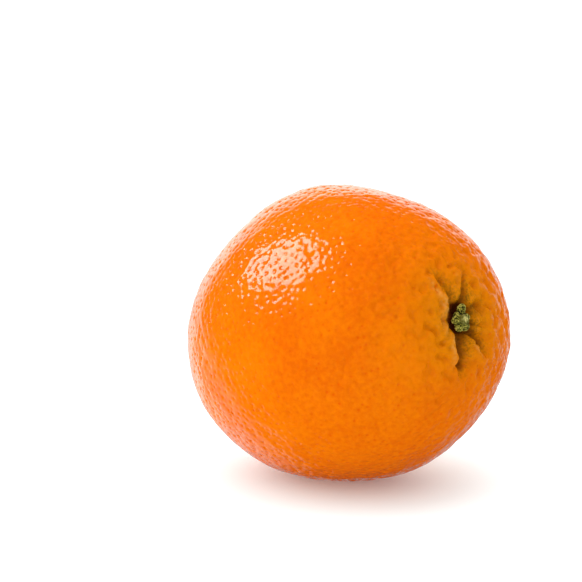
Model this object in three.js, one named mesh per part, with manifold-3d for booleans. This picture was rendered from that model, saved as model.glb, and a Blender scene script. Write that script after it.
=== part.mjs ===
// A navel orange lying on its side, at rest on a small flat spot.
//
// Frame: millimetres, +Z up, +X towards the stem end, which is raised a little above the horizontal.
// The origin is the middle of the bounding box's underside, on the surface that the orange lies on.
//
// Pieces: the fruit itself, one solid that grew as one piece; the calyx, the green button of dried
// sepals sitting in the stem hollow; and the stub of the stem left in the calyx when it was picked.

import * as THREE from "three";
import { mergeVertices } from "three/addons/utils/BufferGeometryUtils.js";
import Module from "manifold-3d";

const { MathUtils, Vector2, Vector3 } = THREE;
const { DEG2RAD } = MathUtils;

// The fruit's overall form. Its own axis is +X, from the centre towards the stem.
const HALF_LENGTH = 44.7; // centre to either end, before the hollow and the navel are sunk
const HALF_WIDTH = 36.8; // centre to the widest ring
const BLOSSOM_SHARE = 0.017; // how much fuller the blossom half is than the stem half
const STEM_RAISE = 14; // degrees that the stem axis points above the horizontal at rest
const FLAT_SPOT_DEPTH = 0.8; // how far the fruit's weight has flattened the peel it lies on

// The broad swellings and flats that every orange has. Each points from the centre to a spot on the
// peel in the fruit's own axes, spreads over so many degrees, and rises or sinks so many millimetres.
const SWELLS = [
  { towards: [-0.08, -0.06, 0.99], spread: 21, rise: 1.15 },
  { towards: [0.37, 0.46, 0.8], spread: 18, rise: -1.15 },
  { towards: [-0.5, -0.54, 0.67], spread: 17, rise: -1.05 },
  { towards: [-0.62, -0.72, -0.3], spread: 17, rise: 0.65 },
  { towards: [0.35, 0.37, -0.86], spread: 24, rise: 0.45 },
  { towards: [0.63, 0.71, -0.33], spread: 12, rise: 0.4 },
];

// The stem end: a shallow dish, and in it the steep hollow that holds the calyx.
const DISH_DEPTH = 1.3;
const DISH_RADIUS = 11;
const HOLLOW_DEPTH = 2.8;
const HOLLOW_RADIUS = 4.4; // where the wall is half way down
const HOLLOW_STEEPNESS = 8;

// The furrows that run out from the hollow. An angle turns about the stem axis from the top of the
// fruit towards -Y. A reach is the distance from the axis at which the furrow has died away.
const FURROWS = [
  { angle: 338, reach: 14.0, depth: 1.0, width: 1.6 },
  { angle: 18, reach: 16.0, depth: 0.8, width: 1.7 },
  { angle: 86, reach: 8.5, depth: 0.4, width: 0.9 },
  { angle: 120, reach: 10.0, depth: 0.5, width: 1.0 },
  { angle: 171, reach: 13.0, depth: 1.2, width: 1.8 },
  { angle: 220, reach: 12.5, depth: 0.8, width: 1.3 },
  { angle: 249, reach: 10.5, depth: 0.5, width: 0.8 },
  { angle: 300, reach: 11.0, depth: 0.6, width: 1.6 },
];

// The blossom end: a low nose, and the small closed navel sunk in it.
const NOSE_RISE = 0.7;
const NOSE_RADIUS = 10;
const NAVEL_DEPTH = 1.6;
const NAVEL_RADIUS = 2.6;
const NAVEL_STEEPNESS = 4;

// How finely the fruit is faceted.
const RINGS = 44;
const SEGMENTS = 60;
const POLE_CROWDING = 0.75; // 0 spaces the rings evenly; nearer 1 draws them towards the two ends

// The calyx, a low button with five unequal sepals, and the stub that stands in its middle.
const CALYX_CORE_RADIUS = 2.5;
const CALYX_THICKNESS = 1.5;
const CALYX_EDGE = 0.25; // how far its edges are rounded
const CALYX_OUTLINE_POINTS = 60;
const SEPALS = [
  { angle: 340, reach: 1.3 },
  { angle: 92, reach: 0.4 },
  { angle: 150, reach: 0.6 },
  { angle: 222, reach: 0.7 },
  { angle: 275, reach: 0.5 },
];
const SEPAL_SPREAD = 24; // degrees either side of a sepal's middle
const STUB_RADIUS = 1.15;
const STUB_HEIGHT = 0.7;
const STUB_SIDES = 24;
const JOINT_GAP = 0.3; // left between pieces that touch

// A bell: 1 at the middle, falling away past one width.
const bell = (distance, width) => Math.exp(-((distance / width) ** 2));

// 1 inside a radius and 0 outside it, with a wall as steep as asked between them.
const well = (distance, radius, steepness) => 1 / (1 + (distance / radius) ** steepness);

// The smaller angle between two directions round the axis, in degrees.
const turnBetween = (a, b) => Math.abs(MathUtils.euclideanModulo(a - b + 180, 360) - 180);

// How far the furrows sink the peel at a distance from the stem axis and an angle round it.
function furrowDepth(distance, angle) {
  let sunk = 0;
  for (const furrow of FURROWS) {
    const across = distance * Math.sin(Math.min(turnBetween(angle, furrow.angle), 90) * DEG2RAD);
    const along = MathUtils.smoothstep(distance, furrow.reach * 0.55, furrow.reach);
    const open = MathUtils.smoothstep(distance, 0, HOLLOW_RADIUS);
    sunk += furrow.depth * bell(across, furrow.width) * open * (1 - along);
  }
  return sunk;
}

// How far the peel at a point on the smooth form stands proud of it, measured from the centre.
function reliefAt(point) {
  const outward = point.clone().normalize();
  let rise = 0;
  for (const swell of SWELLS) {
    const offset = outward.angleTo(new Vector3(...swell.towards)) / DEG2RAD;
    rise += swell.rise * bell(offset, swell.spread);
  }
  const distance = Math.hypot(point.y, point.z);
  if (point.x > 0) {
    const angle = Math.atan2(-point.y, point.z) / DEG2RAD;
    rise -= DISH_DEPTH * bell(distance, DISH_RADIUS);
    rise -= HOLLOW_DEPTH * well(distance, HOLLOW_RADIUS, HOLLOW_STEEPNESS);
    rise -= furrowDepth(distance, angle);
  } else {
    rise += NOSE_RISE * bell(distance, NOSE_RADIUS);
    rise -= NAVEL_DEPTH * well(distance, NAVEL_RADIUS, NAVEL_STEEPNESS);
  }
  return rise;
}

// The profile of the smooth form, from the stem's pole to the blossom's, as (radius, height).
function fruitProfile() {
  const points = [];
  for (let i = 0; i <= RINGS; i++) {
    const share = i / RINGS;
    const polar = Math.PI * share - (POLE_CROWDING / 2) * Math.sin(2 * Math.PI * share);
    const radius = HALF_WIDTH * Math.sin(polar) * (1 - BLOSSOM_SHARE * Math.cos(polar));
    const onAxis = i === 0 || i === RINGS;
    points.push(new Vector2(onAxis ? 0 : radius, HALF_LENGTH * Math.cos(polar)));
  }
  return points.reverse();
}

// A closed geometry as a manifold-3d solid.
function solidFrom(geometry, wasm) {
  const bare = geometry.clone();
  bare.deleteAttribute("normal");
  bare.deleteAttribute("uv");
  const merged = mergeVertices(bare, 1e-3);
  const mesh = new wasm.Mesh({
    numProp: 3,
    vertProperties: new Float32Array(merged.attributes.position.array),
    triVerts: new Uint32Array(merged.index.array),
  });
  return new wasm.Manifold(mesh);
}

// A manifold-3d solid as a geometry.
function geometryFrom(solid) {
  const mesh = solid.getMesh();
  const geometry = new THREE.BufferGeometry();
  geometry.setAttribute("position", new THREE.BufferAttribute(mesh.vertProperties, 3));
  geometry.setIndex(new THREE.BufferAttribute(mesh.triVerts, 1));
  geometry.computeVertexNormals();
  return geometry;
}

// The fruit, tipped to its resting attitude about its centre, with the flat spot cut.
function makeFruit(wasm) {
  const geometry = new THREE.LatheGeometry(fruitProfile(), SEGMENTS);
  geometry.rotateZ(-90 * DEG2RAD); // the lathe's +Y becomes +X
  const position = geometry.attributes.position;
  const point = new Vector3();
  for (let i = 0; i < position.count; i++) {
    point.fromBufferAttribute(position, i);
    point.setLength(point.length() + reliefAt(point));
    position.setXYZ(i, point.x, point.y, point.z);
  }
  geometry.rotateY(-STEM_RAISE * DEG2RAD);
  geometry.computeBoundingBox();
  const lowest = geometry.boundingBox.min.z;
  const block = new THREE.BoxGeometry(4 * HALF_LENGTH, 4 * HALF_LENGTH, HALF_LENGTH);
  block.translate(0, 0, lowest + FLAT_SPOT_DEPTH - HALF_LENGTH / 2);
  return geometryFrom(solidFrom(geometry, wasm).subtract(solidFrom(block, wasm)));
}

// The calyx's underside lies in the plane x = 0, and its face looks along +X.
function makeCalyx() {
  const outline = new THREE.Shape();
  for (let i = 0; i < CALYX_OUTLINE_POINTS; i++) {
    const angle = (360 * i) / CALYX_OUTLINE_POINTS;
    let radius = CALYX_CORE_RADIUS - CALYX_EDGE;
    for (const sepal of SEPALS) {
      radius += sepal.reach * bell(turnBetween(angle, sepal.angle), SEPAL_SPREAD);
    }
    const x = radius * Math.cos(angle * DEG2RAD);
    const y = radius * Math.sin(angle * DEG2RAD);
    if (i === 0) outline.moveTo(x, y);
    else outline.lineTo(x, y);
  }
  outline.closePath();
  const geometry = new THREE.ExtrudeGeometry(outline, {
    depth: CALYX_THICKNESS - 2 * CALYX_EDGE,
    bevelThickness: CALYX_EDGE,
    bevelSize: CALYX_EDGE,
    bevelSegments: 2,
  });
  geometry.translate(0, 0, CALYX_EDGE);
  geometry.rotateZ(90 * DEG2RAD); // an outline angle of 0 points up once the face looks along +X
  geometry.rotateX(90 * DEG2RAD);
  geometry.rotateZ(90 * DEG2RAD);
  return geometry;
}

// The stub stands on the calyx's face, its foot in the plane x = 0.
function makeStub() {
  const profile = [
    new Vector2(0, 0),
    new Vector2(STUB_RADIUS * 1.1, 0),
    new Vector2(STUB_RADIUS, STUB_HEIGHT * 0.5),
    new Vector2(STUB_RADIUS * 0.85, STUB_HEIGHT),
    new Vector2(0, STUB_HEIGHT * 0.8), // the cut face is a little hollow
  ];
  const geometry = new THREE.LatheGeometry(profile, STUB_SIDES);
  geometry.rotateZ(-90 * DEG2RAD);
  return geometry;
}

// A named mesh in its own colour.
function piece(name, geometry, colour, roughness) {
  const material = new THREE.MeshStandardMaterial({ color: colour, roughness, metalness: 0 });
  const mesh = new THREE.Mesh(geometry, material);
  mesh.name = name;
  return mesh;
}

const wasm = await Module();
wasm.setup();

const fruit = piece("fruit", makeFruit(wasm), 0xf57d05, 0.35);
const calyx = piece("calyx", makeCalyx(), 0x6c7a1e, 0.75);
const stub = piece("stem_stub", makeStub(), 0xb9b04a, 0.8);

// The stem end's own group has its origin on the floor of the hollow, +X out along the stem.
const stemEnd = new THREE.Group();
stemEnd.rotation.y = -STEM_RAISE * DEG2RAD;
const floorOfHollow = HALF_LENGTH + reliefAt(new Vector3(HALF_LENGTH, 0, 0));
stemEnd.position.set(floorOfHollow, 0, 0).applyEuler(stemEnd.rotation);
calyx.position.x = JOINT_GAP;
stub.position.x = 2 * JOINT_GAP + CALYX_THICKNESS;
stemEnd.add(calyx, stub);

const orange = new THREE.Group();
orange.add(fruit, stemEnd);
const box = new THREE.Box3().setFromObject(orange, true);
const middle = box.getCenter(new Vector3());
orange.position.set(-middle.x, -middle.y, -box.min.z);

export default orange;
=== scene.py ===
"""A navel orange lying on its side: its looks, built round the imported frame.

Everything is in metres in the shared frame, +Z up, +X towards the stem end. Sizes below are given in
millimetres, as a grower would, and turned to metres where a mesh is made. The fruit has axes of its
own, with its stem axis along X, and lies tipped in the frame with its stem end raised.
"""

import logging
import math
from dataclasses import dataclass, field
from enum import Enum

import bmesh
import bpy
import numpy as np
from mathutils import Matrix, Vector, noise
from mathutils.kdtree import KDTree


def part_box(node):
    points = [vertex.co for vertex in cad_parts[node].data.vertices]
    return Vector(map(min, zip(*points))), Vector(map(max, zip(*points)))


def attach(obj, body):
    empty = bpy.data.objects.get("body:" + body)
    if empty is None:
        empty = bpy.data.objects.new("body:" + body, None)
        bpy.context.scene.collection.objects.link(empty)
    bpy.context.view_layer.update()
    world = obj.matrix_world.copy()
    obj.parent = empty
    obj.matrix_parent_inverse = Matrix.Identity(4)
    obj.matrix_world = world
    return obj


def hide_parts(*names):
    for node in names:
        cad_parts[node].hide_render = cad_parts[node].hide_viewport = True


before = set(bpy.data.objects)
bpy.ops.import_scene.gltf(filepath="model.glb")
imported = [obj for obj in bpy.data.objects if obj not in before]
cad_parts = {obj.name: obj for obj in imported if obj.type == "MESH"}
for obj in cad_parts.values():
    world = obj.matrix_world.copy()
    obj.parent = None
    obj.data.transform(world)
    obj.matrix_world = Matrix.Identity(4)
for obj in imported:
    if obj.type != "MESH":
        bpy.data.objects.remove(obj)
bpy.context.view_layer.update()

LOG = logging.getLogger("orange")
MM = 0.001
SEED = 7
HALFWAY = 0.5

Setting = float | bpy.types.NodeSocket  # what a node's input is given: a number, or a socket that feeds it


class Side(Enum):
    """Which side of a furrow is the steep one, counted as its angle about the stem axis grows."""

    AHEAD = 1
    BEHIND = -1


class Pattern(float, Enum):
    """How far into the noise each pattern lies, so that no two are alike."""

    STRAY = 61.0
    POCKS = 17.9
    CRUMPLES = 43.1
    PALE_FLECKS = 91.0
    NAVEL_CRUMPLES = 12.4
    SCAR = 3.3
    GLAND_PATCHES = 5.3
    GLAND_FLECKS = 71.2
    PEBBLES = 31.7
    FINE_CRUST = 9.3
    SHAKEN_STUB = 4.1
    RAGGED_BARK = 8.8
    BARK_TONE = 2.6


# Small helpers ---------------------------------------------------------------------------------


def linear(hex_colour: str) -> tuple[float, float, float, float]:
    """Turns an sRGB hex colour to linear light.

    Args:
        hex_colour: Six hex digits with a leading hash.

    Returns:
        Red, green, blue and an alpha of 1.
    """
    shares = [int(hex_colour[i : i + 2], 16) / 255 for i in (1, 3, 5)]
    light = [s / 12.92 if s <= 0.04045 else ((s + 0.055) / 1.055) ** 2.4 for s in shares]
    return (*light, 1.0)


def add_node(tree: bpy.types.NodeTree, kind: str, inputs: dict | None = None, **settings) -> bpy.types.Node:
    """Adds a node with its settings and links.

    Args:
        tree: The node tree to add to.
        kind: The node's type name.
        inputs: Socket name or number to a value, or to the output socket that feeds it.
        **settings: The node's own properties.

    Returns:
        The node.
    """
    node = tree.nodes.new(kind)
    for name, value in settings.items():
        setattr(node, name, value)
    for name, value in (inputs or {}).items():
        if isinstance(value, bpy.types.NodeSocket):
            tree.links.new(value, node.inputs[name])
        else:
            node.inputs[name].default_value = value
    return node


def new_material(name: str) -> tuple[bpy.types.Material, bpy.types.NodeTree]:
    """Makes an empty node material.

    Args:
        name: What the material is.

    Returns:
        The material and its node tree.
    """
    material = bpy.data.materials.new(name)
    material.use_nodes = True
    material.node_tree.nodes.clear()
    return material, material.node_tree


def bell(distance: np.ndarray, width: float | np.ndarray) -> np.ndarray:
    """1 at the middle, falling away past one width."""
    return np.exp(-((distance / width) ** 2))


def well(distance: np.ndarray, radius: float | np.ndarray, steepness: float) -> np.ndarray:
    """1 inside a radius and 0 outside it, with a wall as steep as asked between them."""
    return 1 / (1 + (distance / radius) ** steepness)


def smoothstep(value: np.ndarray, low: float, high: float) -> np.ndarray:
    """0 below low, 1 above high, and a smooth rise between them."""
    share = np.clip((value - low) / (high - low), 0, 1)
    return share * share * (3 - 2 * share)


def signed_turn(angles: np.ndarray, centre: np.ndarray | float) -> np.ndarray:
    """The turn from centre to each angle, in degrees from -180 to 180."""
    return (angles - centre + 180) % 360 - 180


def noise_at(points: np.ndarray, grain: float, offset: float = 0.0) -> np.ndarray:
    """Smooth noise from -1 to 1 over points.

    Args:
        points: Places in millimetres, one to a row.
        grain: The size of its lumps in millimetres.
        offset: A shift that gives a pattern of its own.

    Returns:
        One value to a point.
    """
    shifted = points / grain + offset
    return np.array([noise.noise(p, noise_basis="PERLIN_NEW") for p in shifted.tolist()])


def vertex_normals(bm: bmesh.types.BMesh) -> np.ndarray:
    """Works out a bmesh's vertex normals afresh, one to a row."""
    bm.normal_update()
    return np.array([v.normal[:] for v in bm.verts])


def ease(bm: bmesh.types.BMesh, factor: float) -> None:
    """Draws each vertex of a bmesh towards the middle of its neighbours, by this share of the way."""
    bmesh.ops.smooth_vert(
        bm, verts=bm.verts[:], factor=factor, use_axis_x=True, use_axis_y=True, use_axis_z=True
    )


def vertex_points(bm: bmesh.types.BMesh) -> np.ndarray:
    """The places of a bmesh's vertices, one to a row."""
    return np.array([v.co[:] for v in bm.verts])


def move_vertices(bm: bmesh.types.BMesh, points: np.ndarray) -> None:
    """Puts a bmesh's vertices at these places, one to a row."""
    for vertex, point in zip(bm.verts, points.tolist()):
        vertex.co = point


def set_attribute(bm: bmesh.types.BMesh, name: str, values: np.ndarray) -> None:
    """Stores a number on each vertex, for a material to read."""
    layer = bm.verts.layers.float.new(name)
    for vertex, value in zip(bm.verts, values.tolist()):
        vertex[layer] = value


def object_from(bm: bmesh.types.BMesh, name: str) -> bpy.types.Object:
    """Makes a smooth-shaded object of a bmesh and frees the bmesh.

    Args:
        bm: The finished shape, in metres in the frame.
        name: The piece's name.

    Returns:
        The object, at the origin.
    """
    mesh = bpy.data.meshes.new(name)
    bm.to_mesh(mesh)
    bm.free()
    mesh.shade_smooth()
    piece = bpy.data.objects.new(name, mesh)
    bpy.context.scene.collection.objects.link(piece)
    return piece


def settle(piece: bpy.types.Object, material: bpy.types.Material, node: str) -> None:
    """Gives a piece its finish and its place in the frame, and reports it.

    Args:
        piece: The piece's object.
        material: Its finish.
        node: The CAD node that it stands for.
    """
    piece.data.materials.append(material)
    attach(piece, "root")
    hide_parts(node)
    LOG.info("%s: %d faces, finish %s", piece.name, len(piece.data.polygons), material.name)


# Finishes --------------------------------------------------------------------------------------


@dataclass(frozen=True)
class WaxedPeel:
    """Ripe orange peel under its natural wax and a shipper's polish.

    The wax gives a clear gloss over a saturated, slightly translucent skin. Oil glands show as
    deeper-coloured dots, and the skin turns ochre and duller round the stem. Painted shade darkens
    its furrows, dents, stem hollow and navel, and a painted highlight lightens the hollow's edge and
    the furrows' lips.
    """

    ripe: str = "#EC6600"
    ripe_light: str = "#F87A00"
    gland: str = "#EC4A00"
    ochre: str = "#E68600"
    olive: str = "#8E620A"
    # painted shade: dark red-brown laid in the furrows, dents, stem hollow and navel's ring
    painted_crease_shade: str = "#5C2402"
    scar: str = "#7C4E1C"
    # painted highlight: pale tint on the hollow's edge and the furrows' lips, where light catches them
    painted_rim_highlight: str = "#F0A852"
    patch_mm: float = 22.0  # the size of the broad patches of lighter and deeper colour
    fleck_mm: float = 1.3  # the size of the fine mottling
    mottle_mm: float = 0.8  # the rough olive speckling in and round the stem hollow
    pore_mm: float = 0.9  # the small glands between the large ones
    grit_mm: float = 0.28  # the wax's own fine unevenness
    tone_range: tuple[float, float] = (0.78, 1.22)  # patches and flecks that are deep, and light
    olive_range: tuple[float, float] = (0.46, 0.62)  # mottling that stays ochre, and is all speckle
    most_olive: float = 0.85
    gland_range: tuple[float, float] = (0.3, 0.95)  # pits too shallow to be tinted, and full ones
    most_gland: float = 0.6
    pit_range: tuple[float, float] = (0.2, 0.95)
    pore_reach: float = 0.45  # how far a pore's slope runs, as a share of its size
    pit_bump_mm: float = 0.06  # how much sharper the middle of a pit is than its mesh
    pore_bump_mm: float = 0.05
    pore_strength: float = 0.2
    rough_bump_mm: float = 0.4  # the dull, crumpled skin round the stem
    grit_bump_mm: float = 0.02
    grit_strength: float = 0.3
    wax_ior: float = 1.34
    roughness: float = 0.08
    stem_dullness: float = 0.05  # how much rougher the skin is by the stem

    def material(self) -> bpy.types.Material:
        """Makes the peel's material.

        Returns:
            The material, which reads the attributes gland, pit, ochre, olive and scar, and those of painted
            shade and painted highlight.
        """
        material, tree = new_material("waxed_orange_peel")
        coords = add_node(tree, "ShaderNodeTexCoord").outputs["Object"]
        mottle = add_node(
            tree,
            "ShaderNodeTexNoise",
            {"Vector": coords, "Scale": 1 / (self.mottle_mm * MM), "Detail": 4.0, "Roughness": 0.7},
        ).outputs["Fac"]
        near_stem = add_node(tree, "ShaderNodeAttribute", attribute_name="ochre").outputs["Fac"]
        dullness = add_node(
            tree,
            "ShaderNodeMath",
            {0: near_stem, 1: self.stem_dullness, 2: self.roughness},
            operation="MULTIPLY_ADD",
        )
        skin = add_node(
            tree,
            "ShaderNodeBsdfPrincipled",
            {
                "Base Color": self.layered(tree, self.ripe_skin(tree, coords), mottle),
                "Roughness": dullness.outputs[0],
                "IOR": self.wax_ior,
                "Normal": self.unevenness(tree, coords, mottle, near_stem),
            },
        )
        add_node(tree, "ShaderNodeOutputMaterial", {"Surface": skin.outputs[0]})
        return material

    def ripe_skin(self, tree: bpy.types.NodeTree, coords: bpy.types.NodeSocket) -> bpy.types.NodeSocket:
        """Colours the plain ripe skin, in broad patches and fine flecks.

        Args:
            tree: The material's nodes.
            coords: The place on the fruit.

        Returns:
            The colour.
        """
        patches = add_node(
            tree,
            "ShaderNodeTexNoise",
            {"Vector": coords, "Scale": 1 / (self.patch_mm * MM), "Detail": 2.0, "Roughness": 0.5},
        )
        flecks = add_node(
            tree,
            "ShaderNodeTexNoise",
            {"Vector": coords, "Scale": 1 / (self.fleck_mm * MM), "Detail": 3.0, "Roughness": 0.6},
        )
        tone = add_node(
            tree, "ShaderNodeMath", {0: patches.outputs["Fac"], 1: flecks.outputs["Fac"]}, operation="ADD"
        )
        deep, light = self.tone_range
        share = add_node(
            tree, "ShaderNodeMapRange", {"Value": tone.outputs[0], "From Min": deep, "From Max": light}
        )
        return add_node(
            tree,
            "ShaderNodeMix",
            {0: share.outputs[0], 6: linear(self.ripe), 7: linear(self.ripe_light)},
            data_type="RGBA",
        ).outputs[2]

    def layered(
        self, tree: bpy.types.NodeTree, colour: bpy.types.NodeSocket, mottle: bpy.types.NodeSocket
    ) -> bpy.types.NodeSocket:
        """Lays the tints that the fruit's attributes place over the ripe skin.

        Args:
            tree: The material's nodes.
            colour: The ripe skin's colour.
            mottle: The speckling near the stem.

        Returns:
            The colour.
        """
        least, most = self.olive_range
        olive_share = add_node(
            tree,
            "ShaderNodeMapRange",
            {"Value": mottle, "From Min": least, "From Max": most, "To Max": self.most_olive},
        )
        speckled = add_node(
            tree,
            "ShaderNodeMix",
            {0: olive_share.outputs[0], 6: linear(self.ochre), 7: linear(self.olive)},
            data_type="RGBA",
        )
        layers = {
            "ochre": linear(self.ochre),
            "olive": speckled.outputs[2],
            # painted highlight on the hollow's edge and the furrows' lips
            "painted_rim_highlight": linear(self.painted_rim_highlight),
            "gland": linear(self.gland),
            # painted shade for the furrows, dents, hollow and navel
            "painted_crease_shade": linear(self.painted_crease_shade),
            "scar": linear(self.scar),
        }
        shares = {
            name: add_node(tree, "ShaderNodeAttribute", attribute_name=name).outputs["Fac"] for name in layers
        }
        faint, full = self.gland_range
        shares["gland"] = add_node(
            tree,
            "ShaderNodeMapRange",
            {"Value": shares["gland"], "From Min": faint, "From Max": full, "To Max": self.most_gland},
            interpolation_type="SMOOTHSTEP",
        ).outputs[0]
        for name, tint in layers.items():
            colour = add_node(
                tree, "ShaderNodeMix", {0: shares[name], 6: colour, 7: tint}, data_type="RGBA"
            ).outputs[2]
        return colour

    def unevenness(
        self,
        tree: bpy.types.NodeTree,
        coords: bpy.types.NodeSocket,
        mottle: bpy.types.NodeSocket,
        near_stem: bpy.types.NodeSocket,
    ) -> bpy.types.NodeSocket:
        """Adds what is finer than the mesh: sharp pits, pores, crumpled skin and the wax's grit.

        Args:
            tree: The material's nodes.
            coords: The place on the fruit.
            mottle: The speckling near the stem, which is rough as well.
            near_stem: How near the stem a place is, from 0 to 1.

        Returns:
            The surface's normal.
        """
        shallow, full = self.pit_range
        pit = add_node(tree, "ShaderNodeAttribute", attribute_name="pit").outputs["Fac"]
        pit_floor = add_node(
            tree,
            "ShaderNodeMapRange",
            {"Value": pit, "From Min": shallow, "From Max": full, "To Min": 1.0, "To Max": 0.0},
            interpolation_type="SMOOTHSTEP",
        )
        pores = add_node(
            tree,
            "ShaderNodeTexVoronoi",
            {"Vector": coords, "Scale": 1 / (self.pore_mm * MM), "Randomness": 1.0},
            feature="F1",
        )
        pore_floor = add_node(
            tree,
            "ShaderNodeMapRange",
            {"Value": pores.outputs["Distance"], "From Min": 0.0, "From Max": self.pore_reach},
            interpolation_type="SMOOTHSTEP",
        )
        grit = add_node(
            tree,
            "ShaderNodeTexNoise",
            {"Vector": coords, "Scale": 1 / (self.grit_mm * MM), "Detail": 2.0, "Roughness": 0.5},
        )
        relief = (
            (pit_floor.outputs[0], self.pit_bump_mm, 1.0),
            (pore_floor.outputs[0], self.pore_bump_mm, self.pore_strength),
            (mottle, self.rough_bump_mm, near_stem),
            (grit.outputs["Fac"], self.grit_bump_mm, self.grit_strength),
        )
        normal = None
        for height, distance_mm, strength in relief:
            inputs = {"Strength": strength, "Distance": distance_mm * MM, "Height": height}
            if normal is not None:
                inputs["Normal"] = normal
            normal = add_node(tree, "ShaderNodeBump", inputs).outputs["Normal"]
        return normal


@dataclass(frozen=True)
class DriedSepal:
    """The calyx's own tissue: green sepals drying to a corky, wrinkled crust.

    It is matt, paler and yellower on its high places, with wear and a painted highlight, and nearly black
    with painted shade in its clefts.
    """

    # painted shade: nearly black in the clefts between the lumps
    painted_cleft_shade: str = "#1A1402"
    green: str = "#5E5A08"
    # pale yellow on the high places: wear and a painted highlight
    worn_and_highlit: str = "#C4B450"
    wrinkle_mm: float = 0.6
    wrinkle_weight: float = 1.3  # how much the wrinkles count against the lumps' own height
    green_range: tuple[float, float] = (0.92, 1.26)  # levels that are all painted shade, and all green
    worn_and_highlit_range: tuple[float, float] = (1.2, 1.5)  # levels that are still green, and pale with wear and painted highlight
    bump_mm: float = 0.15
    bump_strength: float = 0.9
    roughness: float = 0.72
    ior: float = 1.4
    gloss: float = 0.2  # dry tissue is duller than its refraction alone would make it

    def material(self) -> bpy.types.Material:
        """Makes the calyx's material.

        Returns:
            The material, which reads the attribute height.
        """
        material, tree = new_material("drying_sepal")
        coords = add_node(tree, "ShaderNodeTexCoord").outputs["Object"]
        height = add_node(tree, "ShaderNodeAttribute", attribute_name="height").outputs["Fac"]
        wrinkles = add_node(
            tree,
            "ShaderNodeTexNoise",
            {"Vector": coords, "Scale": 1 / (self.wrinkle_mm * MM), "Detail": 4.0, "Roughness": 0.65},
        )
        level = add_node(
            tree,
            "ShaderNodeMath",
            {0: wrinkles.outputs["Fac"], 1: self.wrinkle_weight, 2: height},
            operation="MULTIPLY_ADD",
        )
        # starts from the painted shade of the clefts
        colour = linear(self.painted_cleft_shade)
        # the high places turn pale: wear and a painted highlight
        for (least, most), shade in ((self.green_range, self.green), (self.worn_and_highlit_range, self.worn_and_highlit)):
            share = add_node(
                tree, "ShaderNodeMapRange", {"Value": level.outputs[0], "From Min": least, "From Max": most}
            )
            colour = add_node(
                tree, "ShaderNodeMix", {0: share.outputs[0], 6: colour, 7: linear(shade)}, data_type="RGBA"
            ).outputs[2]
        bump = add_node(
            tree,
            "ShaderNodeBump",
            {
                "Strength": self.bump_strength,
                "Distance": self.bump_mm * MM,
                "Height": wrinkles.outputs["Fac"],
            },
        )
        tissue = add_node(
            tree,
            "ShaderNodeBsdfPrincipled",
            {
                "Base Color": colour,
                "Roughness": self.roughness,
                "IOR": self.ior,
                "Specular IOR Level": self.gloss,
                "Normal": bump.outputs["Normal"],
            },
        )
        add_node(tree, "ShaderNodeOutputMaterial", {"Surface": tissue.outputs[0]})
        return material


@dataclass(frozen=True)
class CutStemWood:
    """The clipped end of the stem: pale, fibrous pith inside a thin green bark."""

    pith: str = "#F4E494"
    fibre: str = "#9C8E3A"
    bark: str = "#5E580E"
    fibre_mm: float = 0.22
    pith_range: tuple[float, float] = (0.38, 0.62)  # noise that is all fibre, and all pith
    bump_mm: float = 0.08
    bump_strength: float = 0.5
    roughness: float = 0.66
    ior: float = 1.4
    gloss: float = 0.2

    def material(self) -> bpy.types.Material:
        """Makes the stub's material.

        Returns:
            The material, which reads the attribute bark.
        """
        material, tree = new_material("cut_green_stem")
        coords = add_node(tree, "ShaderNodeTexCoord").outputs["Object"]
        bark = add_node(tree, "ShaderNodeAttribute", attribute_name="bark").outputs["Fac"]
        fibres = add_node(
            tree,
            "ShaderNodeTexNoise",
            {"Vector": coords, "Scale": 1 / (self.fibre_mm * MM), "Detail": 3.0, "Roughness": 0.6},
        )
        least, most = self.pith_range
        share = add_node(
            tree, "ShaderNodeMapRange", {"Value": fibres.outputs["Fac"], "From Min": least, "From Max": most}
        )
        face = add_node(
            tree,
            "ShaderNodeMix",
            {0: share.outputs[0], 6: linear(self.fibre), 7: linear(self.pith)},
            data_type="RGBA",
        )
        colour = add_node(
            tree,
            "ShaderNodeMix",
            {0: bark, 6: face.outputs[2], 7: linear(self.bark)},
            data_type="RGBA",
        )
        bump = add_node(
            tree,
            "ShaderNodeBump",
            {
                "Strength": self.bump_strength,
                "Distance": self.bump_mm * MM,
                "Height": fibres.outputs["Fac"],
            },
        )
        wood = add_node(
            tree,
            "ShaderNodeBsdfPrincipled",
            {
                "Base Color": colour.outputs[2],
                "Roughness": self.roughness,
                "IOR": self.ior,
                "Specular IOR Level": self.gloss,
                "Normal": bump.outputs["Normal"],
            },
        )
        add_node(tree, "ShaderNodeOutputMaterial", {"Surface": wood.outputs[0]})
        return material


# The fruit -------------------------------------------------------------------------------------


@dataclass(frozen=True)
class Around:
    """Where points of the smooth form lie about the stem axis, in millimetres and degrees."""

    points: np.ndarray
    distance: np.ndarray
    angle: np.ndarray  # from the top of the fruit, turning towards -Y
    stem_half: np.ndarray

    @classmethod
    def measure(cls, points: np.ndarray) -> "Around":
        """Measures points, one to a row, in the fruit's own axes."""
        distance = np.hypot(points[:, 1], points[:, 2])
        angle = np.degrees(np.arctan2(-points[:, 1], points[:, 2]))
        return cls(points, distance, angle, points[:, 0] > 0)


@dataclass(frozen=True)
class Swell:
    """A broad swelling or flat of the fruit.

    towards points from the centre to its middle, in the fruit's own axes. It spreads over so many
    degrees and rises, or sinks, so many millimetres.
    """

    towards: tuple[float, float, float]
    spread: float
    rise: float


@dataclass(frozen=True)
class Furrow:
    """A furrow that runs out from the stem hollow.

    Its angle swings by bend degrees on its way out to its reach. Its steep side is crowned by a lip.
    """

    angle: float
    bend: float
    reach: float
    depth: float
    width: float
    lip: float
    steep: Side


@dataclass(frozen=True)
class Dent:
    """A shallow dent in the peel near the stem, placed by distance from the axis and angle."""

    distance: float
    angle: float
    radius: float
    depth: float


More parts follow.
